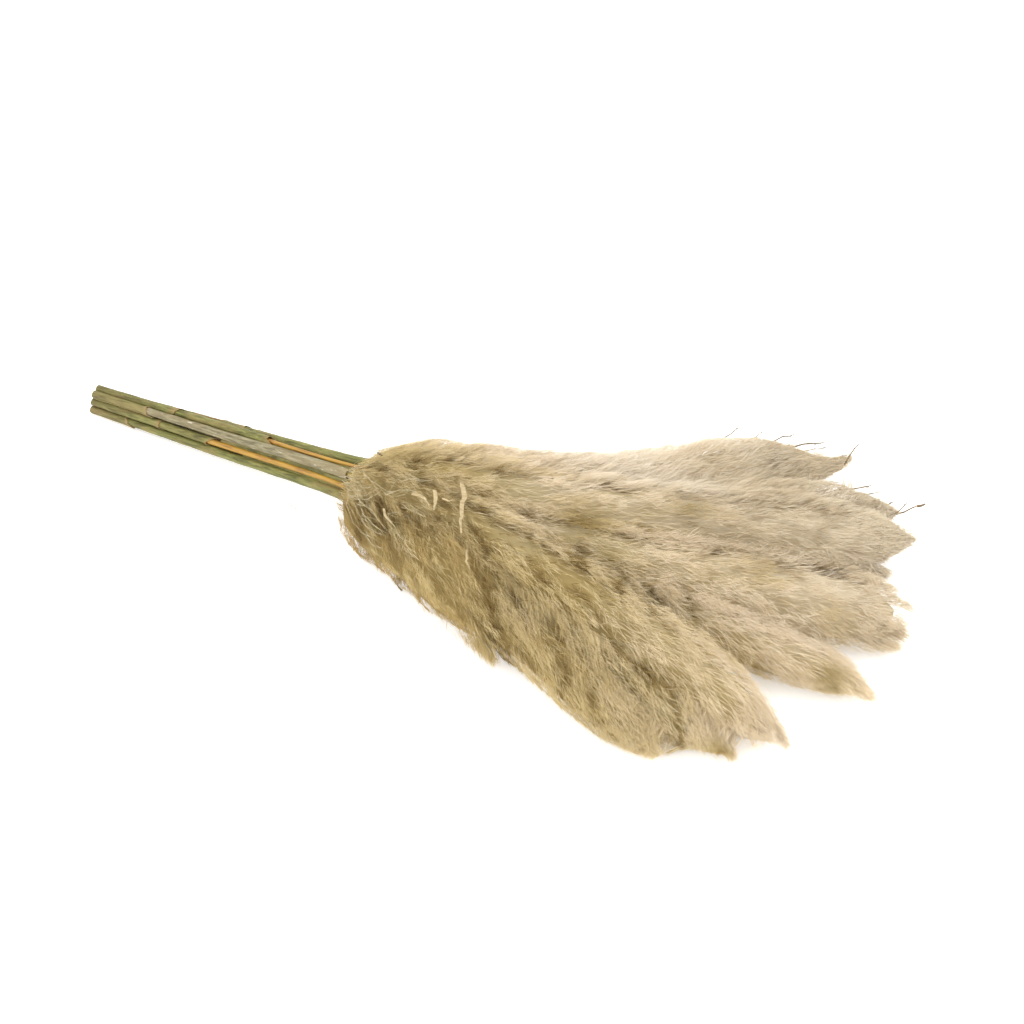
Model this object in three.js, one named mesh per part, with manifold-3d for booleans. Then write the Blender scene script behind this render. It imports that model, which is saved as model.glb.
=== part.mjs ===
// A bundle of pampas grass, cut and dried, lying on a table. Each reed is four pieces: its stem,
// which runs on inside the plume as the stalk, two leaf sheaths round the stem, and the plume.
// Millimetres. +X runs from the cut ends towards the plume tips, +Y to the far side, +Z up.
import * as THREE from "three";
import { mergeVertices } from "three/addons/utils/BufferGeometryUtils.js";
import Module from "manifold-3d";

const { clamp, degToRad, lerp } = THREE.MathUtils;
const wasm = await Module();
wasm.setup();

// Driving dimensions.
const GAP = 0.35; // between pieces that touch
const CULM_RADIUS = 3.3; // a bare stem, as far as its plume
const STALK_TIP_RADIUS = 1; // the same stem where it ends, inside the plume
const STALK_SHARE = 0.86; // how far along its plume a stalk reaches
const SHEATH_WALL = 0.55;
const FIRST_SHEATH = 1; // the lower sheaths start this far from the cut ends
const JOINT = 3; // the bare ring between a reed's two sheaths
const LIP_LENGTH = 5; // over which a sheath's ends thin
const CUT_PITCH = 8.8; // from stem to stem, packed at the cut ends
const ROW_HEIGHT = CUT_PITCH * Math.sqrt(0.75);
const THROAT = new THREE.Vector3(330, -24, 47); // the middle of the stems where the plumes begin
const PLUME_LEAD = 4; // a plume starts this far short of the throat
const STATION = 44; // from ring to ring along a reed
const STEM_SIDES = 8;
const PLUME_SIDES = 10;

// Each reed: its seat in the packed stems (row up from the table, place across), where it crosses
// the throat (across and up from the middle), its plume's headings in degrees from +X towards +Y
// at its middle and its tip, how far the tip lies from the throat, the heights of the plume's
// middle and tip, its greatest radius, and along X the joint between its two sheaths and the end
// of the upper one.
const REEDS = [
  {
    row: 2, place: 0.5, throat: [3, 12], heading: [8, 13],
    reach: 582, ride: [62, 48], girth: 42, joint: 114, bareFrom: 236,
  },
  {
    row: 2, place: -0.5, throat: [-8, 9], heading: [-13, -15],
    reach: 518, ride: [60, 22], girth: 43, joint: 82, bareFrom: 304,
  },
  {
    row: 1, place: 1, throat: [14, 7], heading: [17, 27],
    reach: 470, ride: [50, 40], girth: 37, joint: 198, bareFrom: 324,
  },
  {
    row: 0, place: -1.5, throat: [-21, -10], heading: [-24, -25],
    reach: 440, ride: [40, 17], girth: 43, joint: 60, bareFrom: 316,
  },
  {
    row: 0, place: 1.5, throat: [20, -5], heading: [17, 26],
    reach: 528, ride: [38, 31], girth: 37, joint: 130, bareFrom: 322,
  },
  {
    row: 1, place: -1, throat: [-17, 0], heading: [-18, -19],
    reach: 490, ride: [42, 18], girth: 43, joint: 102, bareFrom: 168,
  },
  {
    row: 0, place: 0.5, throat: [9, -14], heading: [12, 18],
    reach: 566, ride: [42, 34], girth: 41, joint: 92, bareFrom: 320,
  },
  {
    row: 0, place: -0.5, throat: [-7, -15], heading: [-6, -4],
    reach: 570, ride: [40, 22], girth: 41, joint: 146, bareFrom: 318,
  },
  {
    row: 1, place: 0, throat: [0, -1], heading: [1, 6],
    reach: 582, ride: [48, 32], girth: 44, joint: 76, bareFrom: 320,
  },
];

// A plume's outline: its radius as a share of its girth, at shares of its own length.
const PLUME_OUTLINE = [
  [0.0, 0.25],
  [0.03, 0.62],
  [0.1, 0.85],
  [0.24, 1.0],
  [0.5, 1.0],
  [0.72, 0.9],
  [0.88, 0.72],
  [0.97, 0.36],
];

const MATERIALS = {
  stem: new THREE.MeshStandardMaterial({ color: 0xc39a4c, roughness: 0.45, metalness: 0 }),
  sheath: new THREE.MeshStandardMaterial({ color: 0x9c9760, roughness: 0.6, metalness: 0 }),
  plume: new THREE.MeshStandardMaterial({ color: 0xc8b698, roughness: 1, metalness: 0 }),
};

// The line that a reed follows, from its cut end through the throat to its plume's tip.
function reedLine(reed) {
  const cut = new THREE.Vector3(0, reed.place * CUT_PITCH, reed.row * ROW_HEIGHT + CUT_PITCH / 2);
  const throat = new THREE.Vector3(0, ...reed.throat).add(THROAT);
  const [middleHeading, tipHeading] = reed.heading.map(degToRad);
  const [middleHeight, tipHeight] = reed.ride;
  const plumePoint = (share, heading, height) => {
    const ahead = reed.reach * share * Math.cos(heading);
    const across = reed.reach * share * Math.sin(heading);
    return new THREE.Vector3(THROAT.x + ahead, THROAT.y + across, height);
  };
  return new THREE.CatmullRomCurve3([
    cut,
    new THREE.Vector3().lerpVectors(cut, throat, 0.5),
    throat,
    plumePoint(0.2, middleHeading, lerp(throat.z, middleHeight, 0.7)),
    plumePoint(0.48, middleHeading, middleHeight),
    plumePoint(0.78, lerp(middleHeading, tipHeading, 0.6), lerp(middleHeight, tipHeight, 0.4)),
    plumePoint(1, tipHeading, tipHeight),
  ]);
}

// The distance along a line at which it reaches a given X.
function lengthAtX(line, x) {
  let low = 0;
  let high = 1;
  for (let i = 0; i < 30; i++) {
    const middle = (low + high) / 2;
    if (line.getPointAt(middle).x < x) low = middle;
    else high = middle;
  }
  return low * line.getLength();
}

// The place and the two cross directions at every station of a line, the last one past its end.
function stationsOf(line) {
  const total = line.getLength();
  const count = Math.ceil(total / STATION) + 1;
  const up = new THREE.Vector3(0, 0, 1);
  return Array.from({ length: count }, (_, i) => {
    const share = Math.min((i * STATION) / total, 1);
    const along = line.getTangentAt(share);
    const point = line.getPointAt(share).addScaledVector(along, i * STATION - share * total);
    const left = new THREE.Vector3().crossVectors(up, along).normalize();
    const down = new THREE.Vector3().crossVectors(left, along);
    return { point, left, down };
  });
}

// The same at any distance along a reed. Between two stations it runs straight, so that every
// piece of a reed follows the same chords and keeps its gap to the others.
function placeAt(reed, distance) {
  const index = Math.min(Math.floor(distance / STATION), reed.stations.length - 2);
  const share = distance / STATION - index;
  const [from, to] = [reed.stations[index], reed.stations[index + 1]];
  return {
    point: new THREE.Vector3().lerpVectors(from.point, to.point, share),
    left: new THREE.Vector3().lerpVectors(from.left, to.left, share),
    down: new THREE.Vector3().lerpVectors(from.down, to.down, share),
  };
}

// The distances of the stations strictly between two distances along a reed.
function stationsBetween(start, end) {
  const first = Math.floor(start / STATION) + 1;
  const last = Math.ceil(end / STATION) - 1;
  return Array.from({ length: Math.max(last - first + 1, 0) }, (_, i) => (first + i) * STATION);
}

// A closed lathe whose axis is laid along a reed. The profile holds pairs of distance and radius.
function turnedAlong(reed, profile, sides) {
  const outline = profile.map(([distance, radius]) => new THREE.Vector2(radius, distance));
  const geometry = new THREE.LatheGeometry(outline, sides);
  const position = geometry.getAttribute("position");
  const vertex = new THREE.Vector3();
  for (let i = 0; i < position.count; i++) {
    vertex.fromBufferAttribute(position, i);
    const { point, left, down } = placeAt(reed, vertex.y);
    point.addScaledVector(left, vertex.x).addScaledVector(down, vertex.z);
    position.setXYZ(i, point.x, point.y, point.z);
  }
  return solid(geometry);
}

function solid(geometry) {
  geometry.deleteAttribute("normal");
  geometry.deleteAttribute("uv");
  const merged = mergeVertices(geometry, 1e-4);
  const corners = [];
  for (let i = 0; i < merged.index.count; i += 3) {
    const [a, b, c] = [0, 1, 2].map((k) => merged.index.getX(i + k));
    if (a !== b && b !== c && c !== a) corners.push(a, b, c);
  }
  return new wasm.Manifold(
    new wasm.Mesh({
      numProp: 3,
      vertProperties: merged.getAttribute("position").array,
      triVerts: new Uint32Array(corners),
    }),
  );
}

function mesh(name, body, material) {
  const made = body.getMesh();
  const position = new THREE.BufferAttribute(new Float32Array(made.vertProperties), 3);
  const geometry = new THREE.BufferGeometry()
    .setAttribute("position", position)
    .setIndex(new THREE.BufferAttribute(made.triVerts, 1));
  geometry.computeVertexNormals();
  const piece = new THREE.Mesh(geometry, material);
  piece.name = name;
  return piece;
}

// The stem from its cut end to where it ends in the plume, thinning from the throat on.
function stemSolid(reed, grow) {
  const tipAt = lerp(reed.throatAt, reed.total, STALK_SHARE);
  const radiusAt = (distance) => {
    const share = clamp((distance - reed.throatAt) / (tipAt - reed.throatAt), 0, 1);
    return lerp(CULM_RADIUS, STALK_TIP_RADIUS, share) + grow;
  };
  const rings = [0, ...stationsBetween(0, tipAt), tipAt + grow];
  const wall = rings.map((distance) => [distance, radiusAt(distance)]);
  return turnedAlong(reed, [[0, 0], ...wall, [tipAt + grow, 0]], STEM_SIDES);
}

// A tube of leaf sheath round a stem between two places along X, its ends thinned to a lip.
function sheathSolid(reed, from, to) {
  const [start, end] = [from, to].map((x) => lengthAtX(reed.line, x));
  const inner = CULM_RADIUS + GAP;
  const outer = inner + SHEATH_WALL;
  const lip = inner + SHEATH_WALL / 2;
  const [lipEnd, lipStart] = [start + LIP_LENGTH, end - LIP_LENGTH];
  const full = [lipEnd, ...stationsBetween(lipEnd, lipStart), lipStart];
  const outside = full.map((distance) => [distance, outer]);
  const inside = stationsBetween(start, end).map((distance) => [distance, inner]);
  const ends = { first: [start, inner], last: [end, inner] };
  const profile = [ends.first, [start, lip], ...outside, [end, lip], ends.last, ...inside.reverse()];
  return turnedAlong(reed, [...profile, ends.first], STEM_SIDES);
}

// The whole rounded body of a plume, before its neighbours press into it.
function plumeSolid(reed, grow) {
  const start = reed.plumeAt - grow;
  const wall = PLUME_OUTLINE.map(([share, radius]) => {
    return [lerp(start, reed.total, share), reed.girth * radius + grow];
  });
  return turnedAlong(reed, [[start, 0], ...wall, [reed.total, 0]], PLUME_SIDES);
}

function largest(body) {
  return body.decompose().reduce((a, b) => (b.volume() > a.volume() ? b : a));
}

// Everything under the table top, to cut away.
function underTable() {
  const depth = 200;
  const box = new THREE.BoxGeometry(2000, 1000, depth);
  box.translate(500, 0, -depth / 2);
  return solid(box);
}

for (const reed of REEDS) {
  reed.line = reedLine(reed);
  reed.total = reed.line.getLength();
  reed.stations = stationsOf(reed.line);
  reed.throatAt = lengthAtX(reed.line, THROAT.x);
  reed.plumeAt = lengthAtX(reed.line, THROAT.x - PLUME_LEAD);
}

// The plumes are made in order: each keeps clear of the table, of every stem and of the plumes
// before it, so the ones that lie on top stay round and the ones under them fill what is left.
const bundle = new THREE.Group();
let taken = underTable();
for (const reed of REEDS) {
  taken = taken.add(stemSolid(reed, GAP));
}
REEDS.forEach((reed, i) => {
  const number = String(i + 1).padStart(2, "0");
  const lower = sheathSolid(reed, FIRST_SHEATH, reed.joint - JOINT / 2);
  const upper = sheathSolid(reed, reed.joint + JOINT / 2, reed.bareFrom);
  const plume = largest(plumeSolid(reed, 0).subtract(taken));
  bundle.add(mesh(`stem_${number}`, stemSolid(reed, 0), MATERIALS.stem));
  bundle.add(mesh(`lower_sheath_${number}`, lower, MATERIALS.sheath));
  bundle.add(mesh(`upper_sheath_${number}`, upper, MATERIALS.sheath));
  bundle.add(mesh(`plume_${number}`, plume, MATERIALS.plume));
  taken = taken.add(plumeSolid(reed, GAP));
});

// The origin is the middle of the footprint, on the table.
const box = new THREE.Box3().setFromObject(bundle);
const middle = box.getCenter(new THREE.Vector3());
bundle.position.set(-middle.x, -middle.y, -box.min.z);

export default bundle;
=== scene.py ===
"""A bundle of dried pampas grass, lying down.

Nine reeds, each a culm in its leaf sheaths and a plume of fine hair.
Metres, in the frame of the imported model: +X towards the plume tips, +Y to the far side, +Z up.
"""
import math

import bpy
import numpy as np
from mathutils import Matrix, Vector


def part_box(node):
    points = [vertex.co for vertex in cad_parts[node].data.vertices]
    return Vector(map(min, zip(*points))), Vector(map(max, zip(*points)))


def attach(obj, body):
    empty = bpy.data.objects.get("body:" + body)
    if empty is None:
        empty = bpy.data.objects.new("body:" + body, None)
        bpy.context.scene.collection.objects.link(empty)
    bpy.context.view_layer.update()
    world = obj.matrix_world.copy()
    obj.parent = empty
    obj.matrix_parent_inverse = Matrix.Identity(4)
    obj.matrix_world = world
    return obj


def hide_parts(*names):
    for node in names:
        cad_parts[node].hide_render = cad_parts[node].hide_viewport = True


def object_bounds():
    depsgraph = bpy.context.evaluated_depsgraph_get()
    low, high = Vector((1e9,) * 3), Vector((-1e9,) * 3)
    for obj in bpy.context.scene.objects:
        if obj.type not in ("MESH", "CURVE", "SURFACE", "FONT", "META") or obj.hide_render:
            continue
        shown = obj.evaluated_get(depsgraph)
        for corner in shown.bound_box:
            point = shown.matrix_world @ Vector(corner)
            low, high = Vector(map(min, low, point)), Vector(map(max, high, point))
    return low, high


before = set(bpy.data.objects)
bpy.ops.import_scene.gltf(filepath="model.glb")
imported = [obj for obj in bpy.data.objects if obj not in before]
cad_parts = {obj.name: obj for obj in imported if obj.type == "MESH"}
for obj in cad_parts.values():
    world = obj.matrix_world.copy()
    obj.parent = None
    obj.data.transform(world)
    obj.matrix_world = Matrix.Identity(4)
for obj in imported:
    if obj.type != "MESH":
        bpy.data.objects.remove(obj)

CAD_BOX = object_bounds()
THROAT_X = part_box("plume_01")[0][0]  # where the plumes begin
MM = 0.001
REEDS = 9
SEED = 11

# Plumes. A tassel is one side branch of a plume, and a hair is one bristle of a tassel.
TASSELS_PER_METRE = 760  # along a plume's stalk, before the buried ones are left out
HAIRS = 84  # of one tassel, before the ones too deep to see are left out
SEEN = 15 * MM  # about how deep a hair can be rooted and still be made
GIRTHS = (44, 42, 40, 42, 44, 40, 43, 38, 46)  # radius of each plume, mm
FLAT = 0.9  # a plume's height as a share of its width, as it lies
BARE = (30, 6, 26, 0, 0, 0, 0, 0, 4)  # how far past the throat each plume begins, mm
# How far each plume's middle and tip lie aside, mm
SWAY = ((3, 7), (-4, 6), (0, 0), (0, 6), (2, 4), (-2, 4), (3, 4), (8, 0), (-8, -5))
SHARES = (0, 0.04, 0.12, 0.25, 0.38, 0.5, 0.6, 0.8, 0.89, 0.95, 1)  # of a plume's length
FULL = (0.34, 0.7, 0.95, 1, 1, 1.02, 1.04, 1, 0.8, 0.46, 0.1)  # radius there, as a share of its girth
OUTLINES = {  # the same for the plumes that differ
    1: (0.34, 0.7, 0.95, 1, 1, 1.02, 1.04, 1, 0.8, 0.4, 0.06),
    3: (0.34, 0.7, 1.05, 1.1, 1.02, 0.97, 0.95, 0.93, 0.74, 0.4, 0.1),
    4: (0.5, 0.9, 1.2, 1.3, 1.3, 1, 0.86, 0.84, 0.7, 0.48, 0.2),
    5: (0.25, 0.5, 0.85, 1.05, 1.05, 1.04, 1.04, 0.85, 0.5, 0.2, 0.06),
    8: (0.34, 0.7, 0.95, 1, 1, 0.97, 0.95, 0.82, 0.68, 0.44, 0.15),
    9: (0.34, 0.7, 0.95, 1, 1, 1, 1.02, 1.02, 0.92, 0.68, 0.25),
}
TASSEL_STARTS = (0, 0.12, 0.4, 0.8, 1)  # of a plume's length
TASSEL_LENGTHS = (54, 74, 88, 66, 40)  # of the tassels that begin there, mm
NEXT_TURN = 2.39996  # from one tassel round the stalk to the next, radians
ROUND = 6.28  # a full turn, near enough for a random one, radians
HAIR_LENGTH = (9, 18)  # shortest and longest, mm
HAIR_RADIUS = (0.16, 0.27)  # thinnest and thickest, mm
LEAN = 18  # how far the tassels are combed aside, away from the bundle's middle, mm
CREASES = (  # partings in the hair, dented in and painted in shade, each from one place to another, mm
    ((31, -90), (76, -138)), ((76, -138), (103, -159)), ((80, -72), (114, -98)), ((45, -55), (58, -66)),
    ((148, -96), (211, -139)), ((211, -139), (266, -152)), ((266, -152), (290, -187)),
    ((157, -157), (168, -172)), ((194, -178), (204, -192)), ((-74, -73), (-64, -82)),
    ((86, -111), (96, -124)),
)
SMALL_CREASES = 70  # short partings at random places
CREASE_DEPTH = 7 * MM  # of the dent that a parting makes in the hair
CREASE_WIDTH = 3.6  # of the dent, mm
CREASE_SHADE_WIDTH = 2.8  # of the painted shade in it, mm
SPOTS = (  # soft patches where brown husks show through: middle and radius, mm
    ((217, 34), 17), ((316, -3), 18), ((381, -12), 13), ((398, -67), 13), ((331, -179), 12), ((121, -15), 20),
)
LOOSE_TUFTS = (  # tufts that hang out past the rest: base, tip and width, mm
    ((44, -122, 40), (88, -170, 20), 26), ((340, -122, 38), (386, -144, 14), 16),
    ((308, -150, 28), (338, -172, 12), 14), ((396, -50, 30), (443, -60, 14), 17),
    ((372, -38, 36), (416, -36, 16), 14), ((400, 18, 36), (454, 23, 16), 22),
    ((396, 0, 32), (452, 3, 14), 18), ((372, 66, 46), (422, 78, 25), 20),
)
LOOSE_HAIRS = 1100  # of one loose tuft
LOOSE_HAIR_LENGTH = (12, 22)  # mm
UNDERCOAT = 3900  # hairs that lie close round the core of each plume
UNDERCOAT_LENGTH = (15, 28)  # mm
UNDERCOAT_RADIUS = (0.36, 0.62)  # mm
CORE_SHARE = 0.56  # the dense middle of a plume, as a share of its radius
SPREAD = 0.85  # how much wider the dense middle is where it rests on the table
BURIED = 20 * MM  # a tassel whose end lies deeper than this among the plumes isn't made


# ---------------------------------------------------------------- the frame's reeds

def corners_of(mesh):
    found = np.empty(len(mesh.vertices) * 3)
    mesh.vertices.foreach_get("co", found)
    return found.reshape(-1, 3)


def node_points(name):
    return np.unique(np.round(corners_of(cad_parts[name].data), 6), axis=0)


def ring_centres(name):
    """The middles of a stem's rings of corners, from its cut end on."""
    points = node_points(name)
    points = points[np.argsort(points[:, 0])]
    gaps = np.flatnonzero(np.diff(points[:, 0]) > 8 * MM) + 1
    return np.array([ring.mean(0) for ring in np.split(points, gaps)])


def steps_of(line):
    """The length of each step of a line."""
    return np.linalg.norm(np.diff(line, axis=0), axis=1)


def smooth_line(points, count=240):
    """Even steps along a smooth curve through the points."""
    padded = np.vstack([2 * points[0] - points[1], points, 2 * points[-1] - points[-2]])
    t = np.linspace(0, 1, 24, endpoint=False)[:, None]
    spans = []
    for a, b, c, d in zip(padded, padded[1:], padded[2:], padded[3:]):
        square = 2 * a - 5 * b + 4 * c - d
        cube = 3 * b - a - 3 * c + d
        spans.append(0.5 * (2 * b + (c - a) * t + square * t**2 + cube * t**3))
    dense = np.vstack([*spans, points[-1:]])
    steps = np.r_[0, np.cumsum(steps_of(dense))]
    even = np.linspace(0, steps[-1], count)
    return np.stack([np.interp(even, steps, dense[:, k]) for k in range(3)], axis=1)


def unit(v):
    return v / np.maximum(np.linalg.norm(v, axis=-1, keepdims=True), 1e-9)


class Reed:
    """One reed's line, from its cut end to the tip of its plume."""

    def __init__(self, number):
        self.number = number
        rings = ring_centres(f"stem_{number:02d}")
        self.line = smooth_line(rings, 400)
        self.distances = np.r_[0, np.cumsum(steps_of(self.line))]
        self.length = self.distances[-1]

    def distance(self, x):
        """How far from the cut end the line passes x."""
        return float(np.interp(x, self.line[:, 0], self.distances))

    def place(self, distance):
        """The point of the line at a distance from the cut end."""
        row = np.interp(distance, self.distances, np.arange(len(self.line)))
        return self.line[int(round(row))]


class Plume:
    """The line and the outline that one plume's tassels follow."""

    def __init__(self, number):
        self.number = number
        self.girth = GIRTHS[number - 1] * MM
        rings = ring_centres(f"stem_{number:02d}")
        stalk = rings[rings[:, 0] > THROAT_X + 10 * MM]
        start = rings[rings[:, 0] <= THROAT_X + 10 * MM][-1]
        share = (THROAT_X - start[0]) / (stalk[0][0] - start[0])
        throat = start + (stalk[0] - start) * share
        heading = unit(stalk[-1] - stalk[-2])
        corners = node_points(f"plume_{number:02d}")
        tip = corners[np.argmax(corners @ heading)]
        line = smooth_line(np.vstack([throat, stalk, tip]))
        steps = np.r_[0, np.cumsum(steps_of(line))]
        even = np.linspace(BARE[number - 1] * MM, steps[-1], len(line))
        self.line = np.stack([np.interp(even, steps, line[:, k]) for k in range(3)], axis=1)
        self.length = even[-1] - even[0]
        aside = unit(np.cross((0, 0, 1), np.gradient(self.line, axis=0)))
        sway = np.interp(np.linspace(0, 1, len(line)), (0, 0.6, 1), (0, *SWAY[number - 1])) * MM
        self.line += aside * sway[:, None]
        self.along = unit(np.gradient(self.line, axis=0))
        self.left = unit(np.cross((0, 0, 1), self.along))
        self.up = np.cross(self.along, self.left)

    def at(self, t, values):
        """One of the line's rows of vectors, read at shares t of its length."""
        steps = np.clip(t, 0, 1) * (len(values) - 1)
        low = np.minimum(steps.astype(int), len(values) - 2)
        share = (steps - low)[:, None]
        return values[low] * (1 - share) + values[low + 1] * share

    def place(self, t):
        past = np.clip(t - 1, 0, None) + np.clip(t, None, 0)
        return self.at(t, self.line) + self.at(t, self.along) * (past * self.length)[:, None]

    def radius(self, t):
        return self.girth * np.interp(t, SHARES, OUTLINES.get(self.number, FULL))

    def around(self, t, turn):
        """Sideways vectors of a flattened circle round the line."""
        out = np.cos(turn)[:, None] * self.at(t, self.left)
        return out + FLAT * np.sin(turn)[:, None] * self.at(t, self.up)


STALKS = [Reed(n) for n in range(1, REEDS + 1)]
PLUMES = [Plume(n) for n in range(1, REEDS + 1)]


class Envelope:
    """The outer surface of all the plumes together: flattened balls at every fifth point of their lines."""

    def __init__(self, plumes):
        self.centres = np.vstack([plume.line[::5] for plume in plumes])
        self.ups = np.vstack([plume.up[::5] for plume in plumes])
        count = len(plumes[0].line[::5])
        self.radii = np.concatenate([plume.radius(np.linspace(0, 1, count)) for plume in plumes])

    def reach(self, points):
        """How far points lie from each ball's middle, heights counted as more than widths."""
        square = (points**2).sum(1)[:, None] + (self.centres**2).sum(1) - 2 * points @ self.centres.T
        rise = points @ self.ups.T - (self.centres * self.ups).sum(1)
        return np.sqrt(np.maximum(square + (FLAT**-2 - 1) * rise**2, 1e-12))

    def depth(self, points):
        return (self.radii - self.reach(points)).max(1)

    def lift(self, points, depth):
        """Draws points that lie deeper than that out towards the surface."""
        for _ in range(2):
            away = self.reach(points)
            ball = (self.radii - away).argmax(1)
            away = away[np.arange(len(points)), ball]
            wanted = np.maximum(self.radii[ball] - depth, away)
            middle = self.centres[ball]
            points = middle + (points - middle) * (wanted / np.maximum(away, 2 * MM))[:, None]
        return points

    def hold(self, points, give):
        """Draws points that stick out back to the surface, all but the given distance."""
        away = self.reach(points)
        ball = (self.radii - away).argmax(1)
        away = away[np.arange(len(points)), ball]
        out = np.maximum(away - self.radii[ball], 0)
        kept = away - out + give * (1 - np.exp(-out / give))
        middle = self.centres[ball]
        return middle + (points - middle) * (kept / away)[:, None]


ENVELOPE = Envelope(PLUMES)


def side_of_bundle(points):
    """-1 at the near edge of the plumes, 0 in the middle and 1 at the far edge."""
    rows = np.array([np.interp(points[:, 0], plume.line[:, 0], plume.line[:, 1]) for plume in PLUMES])
    low, high = rows.min(0), rows.max(0)
    return np.clip((points[:, 1] - (low + high) / 2) / ((high - low) / 2 + 25 * MM), -1, 1)


# ---------------------------------------------------------------- small tools

def deselect():
    if bpy.context.object and bpy.context.object.mode != "OBJECT":
        bpy.ops.object.mode_set(mode="OBJECT")
    bpy.ops.object.select_all(action="DESELECT")


def start_piece(name):
    piece = bpy.context.object
    piece.name = name
    piece.data.name = name
    return piece


def take(piece):
    """Selects this piece and no other."""
    deselect()
    piece.select_set(True)
    bpy.context.view_layer.objects.active = piece


def surface(piece, material, smooth_below):
    """Gives the selected piece its material, and smooths its edges under an angle in degrees."""
    piece.data.materials.append(material)
    bpy.ops.object.shade_smooth_by_angle(angle=math.radians(smooth_below))


def apply_modifiers(piece):
    take(piece)
    for modifier in list(piece.modifiers):
        bpy.ops.object.modifier_apply(modifier=modifier.name)


def settle(points, give=4 * MM):
    """Presses points flat against the table: what would reach under it ends just above it."""
    low = points[:, 2] < give
    points[low, 2] = give * np.exp(points[low, 2] / give - 1)
    return points


def thicken(sheet, wall, offset):
    """Gives a sheet its wall, inwards at an offset of -1 and both ways at 0."""
    modifier = sheet.modifiers.new("wall", "SOLIDIFY")
    modifier.thickness = wall
    modifier.offset = offset
    apply_modifiers(sheet)


def bend_along(piece, points):
    """Lays a piece made along X on the line through the points, its Z side kept up."""
    curve = bpy.data.curves.new("line", "CURVE")
    curve.dimensions = "3D"
    curve.twist_mode = "Z_UP"
    spline = curve.splines.new("POLY")
    spline.points.add(len(points) - 1)
    for point, place in zip(spline.points, points):
        point.co = (*place, 1)
    line = bpy.data.objects.new("line", curve)
    bpy.context.collection.objects.link(line)
    modifier = piece.modifiers.new("bend", "CURVE")
    modifier.object = line
    modifier.deform_axis = "POS_X"
    apply_modifiers(piece)
    bpy.data.objects.remove(line)


def tube(name, stations, sides):
    """A closed tube along X through rings at (x, radius), made by drawing a disc out ring by ring."""
    deselect()
    facing_back = (0, math.radians(-90), 0)
    bpy.ops.mesh.primitive_circle_add(vertices=sides, radius=1, fill_type="NGON", rotation=facing_back)
    piece = start_piece(name)
    bpy.ops.object.transform_apply(rotation=True)
    bpy.ops.object.mode_set(mode="EDIT")
    bpy.ops.mesh.select_all(action="SELECT")
    x, radius = stations[0]
    bpy.ops.transform.translate(value=(x, 0, 0))
    bpy.ops.transform.resize(value=(1, radius, radius), center_override=(0, 0, 0))
    for next_x, next_radius in stations[1:]:
        bpy.ops.mesh.extrude_region_move(TRANSFORM_OT_translate={"value": (next_x - x, 0, 0)})
        grow = next_radius / radius
        bpy.ops.transform.resize(value=(1, grow, grow), center_override=(0, 0, 0))
        x, radius = next_x, next_radius
    bpy.ops.mesh.select_all(action="SELECT")
    bpy.ops.mesh.normals_make_consistent(inside=False)
    bpy.ops.object.mode_set(mode="OBJECT")
    return piece


# ---------------------------------------------------------------- materials

BLACK = (0, 0, 0)
WHITE = (1, 1, 1)


def new_material(name):
    material = bpy.data.materials.new(name)
    material.use_nodes = True
    nodes = material.node_tree.nodes
    nodes.clear()
    return material, nodes, material.node_tree.links


def ramp(nodes, links, source, stops):
    """Colours at stops from 0 to 1, read by another node's output."""
    node = nodes.new("ShaderNodeValToRGB")
    elements = node.color_ramp.elements
    while len(elements) < len(stops):
        elements.new(0.5)
    for element, (position, color) in zip(elements, stops):
        element.position = position
        element.color = (*color, 1)
    links.new(source, node.inputs["Fac"])
    return node.outputs["Color"]


def srgb(r, g, b):
    """A colour of the screen, 0 to 255, as the shader counts it."""
    return tuple(((c / 255 + 0.055) / 1.055) ** 2.4 if c > 10 else c / 3294.6 for c in (r, g, b))


def map_parts(nodes, links, name):
    """U and V of a piece's own map."""
    place = nodes.new("ShaderNodeUVMap")
    place.uv_map = name
    split = nodes.new("ShaderNodeSeparateXYZ")
    links.new(place.outputs["UV"], split.inputs[0])
    return split.outputs["X"], split.outputs["Y"]


def to_output(nodes, links, shader):
    out = nodes.new("ShaderNodeOutputMaterial")
    links.new(shader.outputs[0], out.inputs["Surface"])


def plume_hair_material():
    """The map's U is the tone, straw to cream, and its V the brightness, which holds painted shade as well as
    random variation.
    """
    material, nodes, links = new_material("plume_hair")
    u, v = map_parts(nodes, links, "OFBake")
    tone = ramp(nodes, links, u, (
        (0.0, srgb(206, 184, 124)),
        (0.25, srgb(226, 213, 171)),
        (0.5, srgb(238, 228, 203)),
        (0.75, srgb(243, 235, 220)),
        (1.0, srgb(246, 241, 232)),
    ))
    shade = ((0.0, (0.42, 0.32, 0.19)), (0.5, (0.88, 0.86, 0.8)), (1.0, (1, 1, 1)))
    light = ramp(nodes, links, v, shade)
    color = blend(nodes, links, 1, tone, light, "MULTIPLY")
    shader = nodes.new("ShaderNodeBsdfPrincipled")
    shader.inputs["Roughness"].default_value = 0.75
    shader.inputs["Specular IOR Level"].default_value = 0.25
    shader.inputs["Sheen Weight"].default_value = 0.2
    through = nodes.new("ShaderNodeBsdfTranslucent")
    links.new(color, shader.inputs["Base Color"])
    links.new(color, through.inputs["Color"])
    both = nodes.new("ShaderNodeMixShader")
    both.inputs["Fac"].default_value = 0.6
    links.new(shader.outputs[0], both.inputs[1])
    links.new(through.outputs[0], both.inputs[2])
    to_output(nodes, links, both)
    return material


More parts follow.
